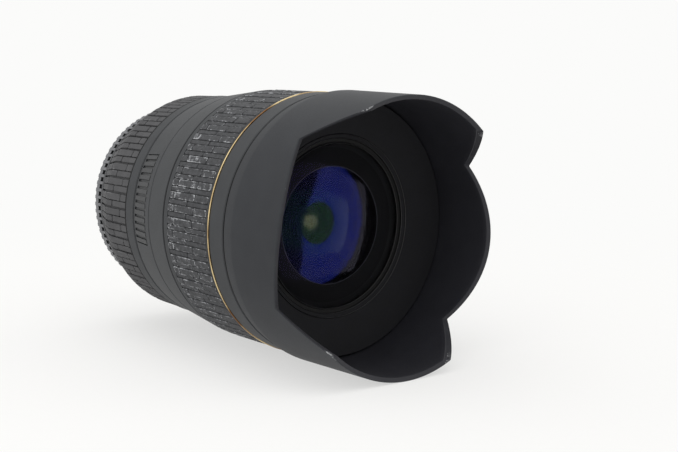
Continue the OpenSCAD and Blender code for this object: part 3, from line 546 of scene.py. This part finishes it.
@dataclass
class BrickGrip:
    """Rubber sleeve with rows of bricks in running bond.

    The path gives station and radius of the outside. A pair of rows takes one share of the turn. Each row has
    the stations of its gaps, its start and end within the pair, and the least and most wear of its bricks.
    The rubs are shares of that wear, from a brick's foot to its top.
    """

    name: str
    node: str
    body: Body
    rubber: Finish
    path: list[Point]
    seat: float
    pairs: int
    gaps: tuple[list[float], list[float]]
    rows: tuple[Point, Point]
    wear: tuple[Point, Point]
    spots: Point = (0.5, 1.5)
    fade: float = 0.25
    lift: float = 0.04
    row_drop: float = 0.2
    gap: float = 0.15
    groove_depth: float = 0.6
    foot: float = 0.1
    bevel: float = 0.16
    rounding: float = 0.3
    top_inset: float = 0.2
    rubs: tuple[float, ...] = (0.0, 0.5, 1.0, 0.95, 0.55)
    corner: float = 0.3
    step: float = 1.5
    least_steps: int = 3
    slack: float = 0.05
    seed: int = 5
    draw: random.Random = field(init=False)

    def __post_init__(self) -> None:
        """Starts the seeded draw of lifts and wear."""
        self.draw = random.Random(self.seed)

    def radius(self, station: float) -> float:
        """Gives the grip's outer radius at a station.

        Args:
            station: Distance from the flange.

        Returns:
            The radius, between the points of the path.
        """
        for (s0, r0), (s1, r1) in zip(self.path, self.path[1:]):
            if station <= s1:
                return r0 + (r1 - r0) * (station - s0) / (s1 - s0)
        return self.path[-1][1]

    def row_ends(self, gaps: Sequence[float]) -> list[Point]:
        """Splits a row at the stations of its gaps, and gives first and last station of each brick."""
        edges = [self.path[0][0], *gaps, self.path[-1][0]]
        return [(a + self.gap, b - self.gap) for a, b in zip(edges, edges[1:])]

    def levels(self) -> list[Triple]:
        """Gives the loops of a brick, from its foot to its top.

        Returns:
            Height, inset and share of the wear of each loop.
        """
        edge = self.rounding * self.bevel
        heights = (-self.groove_depth - self.foot, -self.bevel, -edge, 0.0, 0.0)
        insets = (0.0, 0.0, edge, self.bevel, self.bevel + self.top_inset)
        return list(zip(heights, insets, self.rubs))

    def add_brick(self, mesh: Mesh, middle: float, half: float, ends: Point, lift: float,
                  wear: float) -> None:
        """Adds one brick with rounded corners and a bevelled top.

        Args:
            mesh: Geometry that gets the brick.
            middle: Angle of its centre line.
            half: Half its width.
            ends: Its first and last station.
            lift: Height of its top over the path.
            wear: How worn its edges are.
        """
        layer = mesh.verts.layers.float[WEAR_LAYER]
        steps = max(self.least_steps, round((ends[1] - ends[0]) / self.step))
        # Hands rub some spots of an edge and miss others, and reach the rear half of the sleeve more often.
        spots = [[self.draw.uniform(*self.spots) for _ in range(steps + 3)] for _ in range(2)]
        first, last = self.path[0][0], self.path[-1][0]
        loops = []
        for height, inset, rub in self.levels():
            low, high = ends[0] + inset, ends[1] - inset
            length = high - low - 2 * self.corner
            stations = [low, *(low + self.corner + length * i / steps for i in range(steps + 1)), high]
            sides = []
            for sign, luck in zip((-1, 1), spots):
                side = []
                for i, station in enumerate(stations):
                    width = half - inset - (self.corner if station in (low, high) else 0.0)
                    r = self.radius(station)
                    angle = middle + math.degrees(sign * width / r)
                    vert = mesh.verts.new(at(r + height + lift, angle, station))
                    reach = 1.0 - self.fade * (station - first) / (last - first)
                    vert[layer] = rub * wear * luck[i] * reach
                    side.append(vert)
                sides.append(side)
            loops.append(sides)
        for lower, upper in zip(loops, loops[1:]):
            bridge(mesh, lower[0] + lower[1][::-1], upper[0] + upper[1][::-1], True)
        bridge(mesh, loops[-1][0], loops[-1][1], False)

    def build(self) -> Piece:
        """Builds the sleeve and its bricks.

        Returns:
            The finished piece, riding on its ring.
        """
        mesh = bmesh.new()
        mesh.verts.layers.float.new(WEAR_LAYER)
        pitch = 360 / self.pairs
        for row, (start, stop) in enumerate(self.rows):
            for i in range(self.pairs):
                middle = pitch * (i + (start + stop) / 2)
                for ends in self.row_ends(self.gaps[row]):
                    half = math.radians(pitch * (stop - start) / 2) * self.radius(sum(ends) / 2)
                    lift = self.draw.uniform(-self.lift, self.lift) - row * self.row_drop
                    self.add_brick(mesh, middle, half, ends, lift, self.draw.uniform(*self.wear[row]))
        outline = [(r - self.groove_depth, s) for s, r in self.path]
        outline += [(r - self.seat + self.slack, s) for s, r in self.path[::-1]]
        add_turned(mesh, outline)
        piece = finish_mesh(self.name, mesh, [self.rubber], sharp=50.0)
        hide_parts(self.node)
        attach(piece, self.body.value)
        return piece


@dataclass
class PetalHood:
    """Hood with two long and two short petals, its rim worn pale.

    The points of the lips give radius and station from a corner of the wall, and a share of the wear.
    """

    length: float = 130.0
    outer: float = 43.5
    wall: float = 1.5
    rear: float = 92.75
    shoulder: float = 98.5
    shoulder_half: float = 0.5
    shoulder_drop: float = 0.06
    seat_radius: float = 40.9
    seat_length: float = 2.5
    flare_length: float = 4.0
    band_radius: float = 42.3
    band_edge: float = 0.4
    band_wear: float = 0.5
    petal_half: float = 24.4
    gap_depth: float = 15.1
    gap_y: float = 25.1
    drop: float = 8.5
    outer_lip: tuple[Triple, ...] = ((0.0, -0.8, 0.5), (0.0, -0.3, 1.1), (-0.09, -0.1, 1.25))
    crest: Triple = (-0.3, 0.0, 1.1)
    inner_lip: tuple[Triple, ...] = ((0.3, -0.5, 0.6), (0.08, -0.65, 0.4), (0.0, -0.9, 0.2))
    sound_ends: Point = (2.0, 2.5)
    levels: tuple[float, ...] = (0.3, 0.65, 1.0)
    least_rub: float = 0.42
    rub_width: float = 3.5
    columns: int = 720

    def rim(self, y: float) -> float:
        """Gives the station of the rim at a height from the axis plane.

        Args:
            y: Height, towards the long petals.

        Returns:
            The station.
        """
        flat = math.sqrt(self.outer ** 2 - self.petal_half ** 2)
        if abs(y) >= flat:
            return self.length
        if abs(y) >= self.gap_y:
            return self.length - self.gap_depth * (flat - abs(y)) / (flat - self.gap_y)
        rise = self.gap_depth - self.drop
        radius = (self.gap_y ** 2 + rise ** 2) / (2 * rise)
        return self.length - self.drop - radius + math.sqrt(radius ** 2 - y ** 2)

    def rub(self, angle: float) -> float:
        """Gives how much the rim is rubbed, most at the corners of the long petals.

        Args:
            angle: Angle about the axis.

        Returns:
            A share of the wear.
        """
        corner = math.degrees(math.acos(self.petal_half / self.outer))
        away = abs(abs((angle + 90) % 180 - 90) - corner)
        return self.least_rub + (1 - self.least_rub) * math.exp(-(away / self.rub_width) ** 2)

    def column(self, angle: float) -> list[tuple[float, float, float, int]]:
        """Gives the section of the hood at one angle.

        Args:
            angle: Angle about the axis.

        Returns:
            Radius, station, wear and material index of each point.
        """
        sine = math.sin(math.radians(angle))
        inner = self.outer - self.wall
        far, near = self.rim(self.outer * sine), self.rim(inner * sine)
        rub = self.rub(angle)
        outside = [(self.seat_radius, self.rear, 0.0), (self.band_radius - self.band_edge, self.rear, 0.0),
                   (self.band_radius, self.rear + self.band_edge, self.band_wear),
                   (self.outer - self.shoulder_drop, self.shoulder - self.shoulder_half, 0.0),
                   (self.outer, self.shoulder + self.shoulder_half, 0.0)]
        length = far - self.sound_ends[0] - self.shoulder
        outside += [(self.outer, self.shoulder + length * f, 0.0) for f in self.levels]
        outside += [(self.outer + r, far + s, wear * rub) for r, s, wear in self.outer_lip]
        inside = [(self.outer + self.crest[0], far + self.crest[1], self.crest[2] * rub)]
        inside += [(inner + r, near + s, wear * rub) for r, s, wear in self.inner_lip]
        flare = self.rear + self.flare_length
        length = near - self.sound_ends[1] - flare
        inside += [(inner, flare + length * f, 0.0) for f in (*self.levels[::-1], 0.0)]
        inside += [(self.seat_radius, self.rear + self.seat_length, 0.0)]
        return [(*p, Side.OUTSIDE) for p in outside] + [(*p, Side.INSIDE) for p in inside]

    def build(self) -> Piece:
        """Builds the hood.

        Returns:
            The finished piece, riding on the barrel.
        """
        mesh = bmesh.new()
        layer = mesh.verts.layers.float.new(WEAR_LAYER)
        rows = []
        for i in range(self.columns):
            angle = 360 * i / self.columns
            row = []
            for radius, station, wear, _ in self.column(angle):
                vert = mesh.verts.new(at(radius, angle, station))
                vert[layer] = wear
                row.append(vert)
            rows.append(row)
        sides = [point[3] for point in self.column(0.0)]
        for first, second in zip(rows, rows[1:] + rows[:1]):
            bridge(mesh, first, second, True, sides)
        piece = finish_mesh("petal_hood", mesh, [HOOD_OUTSIDE, HOOD_INSIDE], sharp=30.0)
        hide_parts("hood")
        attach(piece, Body.BARREL.value)
        return piece


@dataclass
class TrimRing:
    """Gold line set in a black groove between the focus ring and the band."""

    seat: float = 40.9
    flank: float = 42.05
    crown: float = 42.5
    rear: float = 84.15
    front: float = 85.25
    lip: float = 0.22
    rounding: tuple[Point, ...] = ((-0.1, 0.08), (0.0, 0.24))

    def build(self) -> Piece:
        """Builds the ring.

        Returns:
            The finished piece, riding on the barrel.
        """
        low, high = self.rear + self.lip, self.front - self.lip
        rise = shifted(self.rounding, self.crown, low)
        fall = shifted([(r, -s) for r, s in self.rounding[::-1]], self.crown, high)
        outline = [(self.seat, self.rear), (self.flank, self.rear), (self.flank, low), *rise, *fall,
                   (self.flank, high), (self.flank, self.front), (self.seat, self.front)]
        tones = [Tone.DARK] * 2 + [Tone.BRIGHT] * 5 + [Tone.DARK] * 3
        mesh = bmesh.new()
        add_turned(mesh, outline, tones, FINE_TURN)
        piece = finish_mesh("gold_line", mesh, [GOLD_PAINTED_LIGHT, BLACK_ANODISED], sharp=40.0)
        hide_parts("gold_ring")
        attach(piece, Body.BARREL.value)
        return piece


@dataclass
class SeamShadeRings:
    """Black-painted rings at the bottom of seams, where next to no light comes back: painted shade in the
    gaps.

    Each seam has the rear and front station and the radius of its ring.
    """

    name: str
    body: Body
    seams: tuple[Triple, ...]
    depth: float = 0.5

    def build(self) -> Piece:
        """Builds the rings.

        Returns:
            The finished piece, riding on its body.
        """
        mesh = bmesh.new()
        for low, high, radius in self.seams:
            foot = radius - self.depth
            add_turned(mesh, [(foot, low), (radius, low), (radius, high), (foot, high)])
        piece = finish_mesh(self.name, mesh, [EDGE_PAINT_AND_SHADE])
        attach(piece, self.body.value)
        return piece


@dataclass
class Retainer:
    """Black ring round the front glass, turned with fine ridges that catch the light, with painted shade on
    its walls and between the ridges.

    The points of the ridges are measured from the top of the rim, the top of the opening and the foot of the
    lone ridge outside.
    """

    clear: float = 26.5
    rim: float = 28.25
    seat: float = 93.1
    height: float = 1.9
    floor: float = 0.95
    rim_ridge: tuple[Point, ...] = ((0.0, -0.1), (-0.1, 0.0), (-0.22, -0.1), (-0.3, -0.7))
    clear_ridge: tuple[Point, ...] = ((0.35, -0.9), (0.25, -0.5), (0.1, -0.42), (0.0, -0.5))
    lone_foot: Point = (29.3, 95.15)
    lone_ridge: tuple[Point, ...] = ((0.0, 0.0), (0.0, 0.35), (0.12, 0.45), (0.3, 0.35), (0.35, 0.0))

    def build(self) -> Piece:
        """Builds the ring and the lone ridge.

        Returns:
            The finished piece, riding on the front group.
        """
        top = self.seat + self.height
        ring = [(self.rim, self.seat), *shifted(self.rim_ridge, self.rim, top),
                *shifted(self.clear_ridge, self.clear, top), (self.clear, self.seat + self.floor)]
        # The crests take the anodised black; the walls and the valleys between the ridges take black paint as
        # painted shade.
        dark, bright = Tone.DARK, Tone.BRIGHT
        ridge_tones = [dark, bright, bright, dark, dark]
        clear_tones = [bright, bright, bright, dark, dark]
        mesh = bmesh.new()
        add_turned(mesh, ring, ridge_tones + clear_tones, FINE_TURN)
        add_turned(mesh, shifted(self.lone_ridge, *self.lone_foot), ridge_tones, FINE_TURN)
        piece = finish_mesh("retainer_ridges", mesh, [BLACK_ANODISED, EDGE_PAINT_AND_SHADE], sharp=40.0)
        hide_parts("front_retainer")
        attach(piece, Body.FRONT.value)
        return piece


@dataclass
class ToothedRing:
    """Aperture ring with a painted highlight on its teeth and painted shade in its notches.

    The shares say where, in one step of the teeth, a tooth starts and ends and a notch starts and ends. The
    bands of the section that a notch darkens are listed last; they take the painted shade.
    """

    rear: float = 0.1
    front: float = 4.3
    radii: Point = (32.6, 32.8)
    bore: float = 31.0
    skirt: Point = (32.15, 1.3)
    ripple: float = 0.25
    teeth: int = 80
    depth: float = 0.9
    edge: float = 0.15
    run_out: float = 0.5
    run_out_step: float = 0.1
    shares: tuple[float, ...] = (0.0, 0.4, 0.5, 0.9)
    notch_shade_bands: tuple[int, ...] = (5, 6, 7)

    def section(self, deep: bool) -> list[Point]:
        """Gives the ring's section through a tooth or through a notch.

        Args:
            deep: Whether the section is a notch's.

        Returns:
            Radius and station of its points, from the bore's rear round to the bore's front.
        """
        run_out = self.rear + self.run_out * (self.front - self.rear)
        cone = [self.radii[0] + (self.radii[1] - self.radii[0]) * (s - self.rear) / (self.front - self.rear)
                for s in (self.rear + self.edge, run_out, self.front - self.edge)]
        low, middle, high = (r - self.ripple if deep else r for r in cone)
        floor = self.radii[1] - self.depth
        notch = min(middle, floor) if deep else middle
        face = floor if deep else high
        return [(self.bore, self.skirt[1]), self.skirt, (self.skirt[0], self.rear),
                (low - self.edge, self.rear), (low, self.rear + self.edge), (middle, run_out),
                (notch, run_out + self.run_out_step), (face, self.front - self.edge),
                (face - self.edge, self.front), (self.bore, self.front)]

    def build(self) -> Piece:
        """Builds the ring.

        Returns:
            The finished piece, riding on the aperture control.
        """
        mesh = bmesh.new()
        columns = []
        for i in range(self.teeth):
            for k, share in enumerate(self.shares):
                angle = 360 / self.teeth * (i + share)
                columns.append([mesh.verts.new(at(r, angle, s)) for r, s in self.section(k > 1)])
        for i, (first, second) in enumerate(zip(columns, columns[1:] + columns[:1])):
            # Away from the tops of the teeth, the bands listed for the notches take the painted shade.
            notch_shade_bands = self.notch_shade_bands if i % len(self.shares) else ()
            tones = [Tone.DARK if k in notch_shade_bands else Tone.BRIGHT for k in range(len(first))]
            bridge(mesh, first, second, True, tones)
        piece = finish_mesh("aperture_teeth", mesh, [TOOTH_HIGHLIGHT_GREY, NOTCH_SHADE], sharp=30.0)
        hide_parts("aperture_ring")
        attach(piece, Body.APERTURE.value)
        return piece


@dataclass(frozen=True)
class Curve:
    """One side of a lens element: stations of its middle and of the flat round it, and its radius.

    The radius is negative where the side falls back from its middle.
    """

    middle: float
    radius: float
    flat: float

    def reach(self, limit: float) -> float:
        """Gives how far from the axis the curve goes, at most to a limit."""
        depth = abs(self.flat - self.middle)
        return min(limit, math.sqrt(self.radius ** 2 - (abs(self.radius) - depth) ** 2))

    def station(self, r: float) -> float:
        """Gives the station of the curve at a distance from the axis."""
        sag = abs(self.radius) - math.sqrt(self.radius ** 2 - r ** 2)
        return self.middle + math.copysign(sag, self.radius)


@dataclass
class GlassElement:
    """Lens element with one coating on each side and black paint on its rim and flats.

    The core counts the inner steps of the front that have the coating of the core. A thin ring of the given
    width at the edge of the rear is painted pale, as a painted highlight.
    """

    name: str
    node: str
    radius: float
    front: Curve
    rear: Curve
    coatings: tuple[Glass, Glass]
    body: Body = Body.FRONT
    core: int = 0
    pale_edge: float = 0.0
    least_flat: float = 0.05
    steps: int = 26

    def side(self, curve: Curve) -> list[Point]:
        """Gives a side from the axis to the rim.

        Args:
            curve: The side's curve.

        Returns:
            Radius and station of its points; the last but one is where the flat starts.
        """
        reach = curve.reach(self.radius)
        radii = [reach * i / self.steps for i in range(self.steps + 1)]
        return [(r, curve.station(r)) for r in radii] + [(self.radius, curve.station(reach))]

    def build(self) -> Piece:
        """Builds the element.

        Returns:
            The finished piece, riding on its group.
        """
        mesh = bmesh.new()
        front, rear = self.side(self.front), self.side(self.rear)
        if front[-1][0] - front[-2][0] < self.least_flat:
            front.pop()
        flats = len(front) - self.steps
        indices = [Zone.CORE] * self.core + [Zone.FRONT] * (self.steps - self.core)
        indices += [Zone.PAINT] * (flats + 1) + [Zone.REAR] * self.steps
        # A thin ring at the edge of the rear hollow takes the painted highlight.
        if self.pale_edge:
            rear.insert(-1, (rear[-2][0] + self.pale_edge, rear[-1][1]))
            indices.insert(-self.steps, Zone.PALE_EDGE)
        add_turned(mesh, front + rear[::-1], indices, segments=128)
        coats = [*self.coatings, EDGE_PAINT_AND_SHADE, CORE_GLASS, EDGE_HIGHLIGHT]
        piece = finish_mesh(self.name, mesh, coats, sharp=25.0)
        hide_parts(self.node)
        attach(piece, self.body.value)
        return piece


@dataclass
class Scale:
    """White figures and lines printed round a ring.

    Each figure has its angle. Each line has its angle and its rear and front station.
    """

    name: str
    body: Body
    slot: str
    radius: float
    station: float
    height: float
    figures: list[tuple[str, float]] = field(default_factory=list)
    lines: list[Triple] = field(default_factory=list)
    film: float = 0.05
    line_half: float = 0.16
    type_size: float = 1.4
    type_steps: int = 4

    def add_figure(self, mesh: Mesh, figure: str, angle: float) -> None:
        """Wraps one figure of the built-in type face round the ring.

        Args:
            mesh: Geometry that gets the figure.
            figure: What is printed.
            angle: Angle of its middle.
        """
        curve = bpy.data.curves.new(self.name, "FONT")
        curve.body = figure
        curve.size = self.height * self.type_size
        curve.extrude = self.film / 2
        curve.align_x = curve.align_y = "CENTER"
        curve.resolution_u = self.type_steps
        holder = bpy.data.objects.new(self.name, curve)
        bpy.context.scene.collection.objects.link(holder)
        solid = holder.evaluated_get(bpy.context.evaluated_depsgraph_get()).to_mesh()
        verts = []
        for vert in solid.vertices:
            x, y, z = vert.co
            turn = angle + math.degrees(x / self.radius)
            verts.append(mesh.verts.new(at(self.radius + z + self.film / 2, turn, self.station + y)))
        for face in solid.polygons:
            mesh.faces.new([verts[i] for i in face.vertices])
        bpy.data.objects.remove(holder)
        bpy.data.curves.remove(curve)

    def add_line(self, mesh: Mesh, angle: float, low: float, high: float) -> None:
        """Prints a short line along the axis.

        Args:
            mesh: Geometry that gets the line.
            angle: Its angle.
            low: Its rear station.
            high: Its front station.
        """
        half = math.degrees(self.line_half / self.radius)
        corners = ((-half, low), (half, low), (half, high), (-half, high))
        loops = [[mesh.verts.new(at(self.radius + h, angle + a, s)) for a, s in corners]
                 for h in (0.0, self.film)]
        bridge(mesh, loops[0], loops[1], True)
        for loop in loops:
            mesh.faces.new(loop)

    def build(self) -> Piece:
        """Prints the scale.

        Returns:
            The finished piece, riding on its ring.
        """
        mesh = bmesh.new()
        for figure, angle in self.figures:
            self.add_figure(mesh, figure, angle)
        for angle, low, high in self.lines:
            self.add_line(mesh, angle, low, high)
        piece = finish_mesh(self.name, mesh, [WHITE_PRINT])
        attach(piece, self.body.value)
        return piece


@dataclass(frozen=True)
class Lamp:
    """A square soft lamp, with its place and size in metres and its power in watts."""

    name: str
    place: Triple
    size: float
    power: float

    def build(self) -> None:
        """Hangs the lamp and aims it at the middle of the lens."""
        data = bpy.data.lights.new(self.name, "AREA")
        data.size = self.size
        data.energy = self.power
        lamp = bpy.data.objects.new(self.name, data)
        lamp.location = self.place
        aim = LENS_MIDDLE - Vector(self.place)
        lamp.rotation_euler = aim.to_track_quat("-Z", "Y").to_euler()
        bpy.context.scene.collection.objects.link(lamp)


@dataclass
class Studio:
    """Pale floor, soft light and the camera."""

    floor_z: float = -43.5
    floor_half: float = 3000.0
    target: Triple = (0.0, -90.0, 0.0)
    azimuth: float = -39.253
    elevation: float = 8.016
    tilt: float = 0.619
    distance: float = 460.383
    lens: float = 76.12
    sensor: float = 36.0
    shift: Point = (0.01895, -0.00208)
    clip_start: float = 10.0
    fill: float = 0.97
    lamps: tuple[Lamp, ...] = (Lamp("top_lamp", (-0.25, -0.2, 0.9), 0.9, 1.6),
                               Lamp("side_lamp", (-0.9, -0.3, 0.45), 0.7, 1.0))

    def camera(self) -> None:
        """Sets the camera at the photograph's viewing angle."""
        a, e, t = (math.radians(v) for v in (self.azimuth, self.elevation, self.tilt))
        back = Vector((math.sin(a) * math.cos(e), -math.cos(a) * math.cos(e), math.sin(e)))
        level = Vector((0, 0, 1)).cross(back).normalized()
        rise = back.cross(level)
        right = level * math.cos(t) + rise * math.sin(t)
        up = back.cross(right)
        data = bpy.data.cameras.new("camera")
        data.sensor_width = self.sensor
        data.lens = self.lens
        data.shift_x, data.shift_y = self.shift
        data.clip_start = self.clip_start * MM
        camera = bpy.data.objects.new("camera", data)
        camera.matrix_world = Matrix((right, up, back)).transposed().to_4x4()
        camera.matrix_world.translation = (Vector(self.target) + back * self.distance) * MM
        bpy.context.scene.collection.objects.link(camera)
        bpy.context.scene.camera = camera

    def floor(self) -> None:
        """Lays the pale floor."""
        mesh = bmesh.new()
        signs = ((-1, -1), (1, -1), (1, 1), (-1, 1))
        places = [Vector((x * self.floor_half, y * self.floor_half, self.floor_z)) * MM for x, y in signs]
        mesh.faces.new([mesh.verts.new(place) for place in places])
        finish_mesh("floor", mesh, [Paper("white_paper_painted_glow")])

    def surround(self) -> None:
        """Lights from all round, and shows white to camera, mirror and glass rays."""
        world = bpy.data.worlds.new("surround")
        world.use_nodes = True
        tree = world.node_tree
        tree.nodes.clear()
        strength = add_node(tree, "ShaderNodeMapRange", {"To Min": self.fill}, {"Value": seen_rays(tree)})
        light = add_node(tree, "ShaderNodeBackground", {"Color": linear(SURROUND_WHITE)},
                         {"Strength": strength.outputs[0]})
        add_node(tree, "ShaderNodeOutputWorld", None, {"Surface": light.outputs[0]})
        bpy.context.scene.world = world

    def build(self) -> None:
        """Sets up the whole studio."""
        self.camera()
        self.floor()
        for lamp in self.lamps:
            lamp.build()
        self.surround()
        bpy.context.scene.view_settings.view_transform = "Standard"


def dress_nodes() -> None:
    """Gives every carried-over node its finish."""
    for finish, names in NODE_FINISHES.items():
        for name in names.split():
            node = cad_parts[name]
            node.data.materials.clear()
            node.data.materials.append(finish.material())
            LOG.info("dressed %s with %s", name, finish.name)


def trims() -> list[Any]:
    """Gives the hood, the rings and the painted shade at the bottom of the seams.

    Returns:
        The pieces, not yet built.
    """
    seams = ((35.15, 35.7, 38.2), (57.95, 58.75, 41.42), (92.15, 92.65, 42.02))
    return [
        PetalHood(),
        TrimRing(),
        # Black rings at the bottom of the seams: painted shade.
        SeamShadeRings("seam_painted_shade", Body.BARREL, seams),
        SeamShadeRings("zoom_lip_painted_shade", Body.ZOOM, ((30.1, 30.6, 38.53),)),
        Retainer(),
        ToothedRing(),
    ]


def grips() -> list[BrickGrip]:
    """Gives the two rubber grips, the rear one with wider grooves and less wear.

    Returns:
        The pieces, not yet built.
    """
    return [
        BrickGrip("zoom_grip_bricks", "zoom_grip", Body.ZOOM, REAR_RUBBER,
                  path=[(8.2, 34.6), (17.0, 38.0), (30.2, 38.4)], seat=1.4, pairs=46,
                  gaps=([15.5, 26.0], [20.7]), rows=((0.07, 0.5), (0.56, 0.93)),
                  wear=((0.5, 1.1), (0.3, 0.9)), row_drop=0.06, gap=0.22, groove_depth=0.85),
        BrickGrip("focus_grip_bricks", "focus_grip", Body.FOCUS, FRONT_RUBBER,
                  path=[(61.2, 42.0), (83.2, 42.3)], seat=1.6, pairs=64,
                  gaps=([64.6, 75.6], [71.6]), rows=((0.03, 0.56), (0.61, 0.97)),
                  wear=((0.8, 1.35), (0.5, 1.1)), seed=11),
    ]


def glasses() -> list[GlassElement]:
    """Gives the glasses that show from the front.

    Returns:
        The pieces, not yet built.
    """
    return [
        GlassElement("front_glass", "front_element", radius=28.3, front=Curve(99.9, -61.5, 93.0),
                     rear=Curve(93.5, -33.96, 88.5), coatings=(FRONT_GLASS, INNER_GLASS), pale_edge=0.22),
        GlassElement("second_glass", "second_element", radius=23.9, front=Curve(82.7, 38.0, 87.5),
                     rear=Curve(81.4, -14.0, 76.06), coatings=(BLUE_GLASS, STRAW_GLASS), core=10),
        GlassElement("middle_glass", "zoom_element", radius=22.0, front=Curve(54.0, -43.0, 48.0),
                     rear=Curve(46.5, -120.0, 45.5), coatings=(LIME_GLASS, DEEP_GLASS), body=Body.MIDDLE),
    ]


def scales() -> list[Scale]:
    """Gives the printed scales: plain numbers, and letters at the switch.

    Returns:
        The pieces, not yet built.
    """
    zoom_step, distance_step = 16.25, 13.3
    zoom = {str(mm): TOP - zoom_step * k for k, mm in enumerate((24, 28, 35, 50, 70))}
    metres = ("0.5", "0.7", "1", "1.5", "3", "10")
    distance = {mark: TOP - distance_step * k for k, mark in enumerate(metres)}
    switch = {"radius": 39.72, "height": 1.2}
    switch_angle = -25.0
    return [
        Scale("zoom_figures", Body.ZOOM, "barrel_plastic", radius=38.5, station=32.6, height=2.2,
              figures=list(zoom.items()), lines=[(angle, 34.0, 34.7) for angle in zoom.values()]),
        Scale("zoom_index", Body.BARREL, "barrel_plastic", radius=38.72, station=37.0, height=1.0,
              lines=[(TOP, 36.1, 38.0)]),
        Scale("distance_figures", Body.FOCUS, "barrel_plastic", radius=37.2, station=51.8, height=1.9,
              figures=list(distance.items()), lines=[(angle, 54.0, 55.2) for angle in distance.values()]),
        Scale("switch_letters", Body.BARREL, "barrel_plastic", station=43.8, figures=[("M", switch_angle)],
              **switch),
        Scale("switch_letters_front", Body.BARREL, "barrel_plastic", station=53.3,
              figures=[("A", switch_angle)], **switch),
    ]


def main() -> None:
    """Builds the pieces in order and reports each one."""
    logging.basicConfig(level=logging.INFO, format="%(name)s: %(message)s")
    Studio().build()
    dress_nodes()
    for piece in [*trims(), *grips(), *glasses(), *scales()]:
        LOG.info("built %s", piece.build().name)


if __name__ == "__main__":
    main()
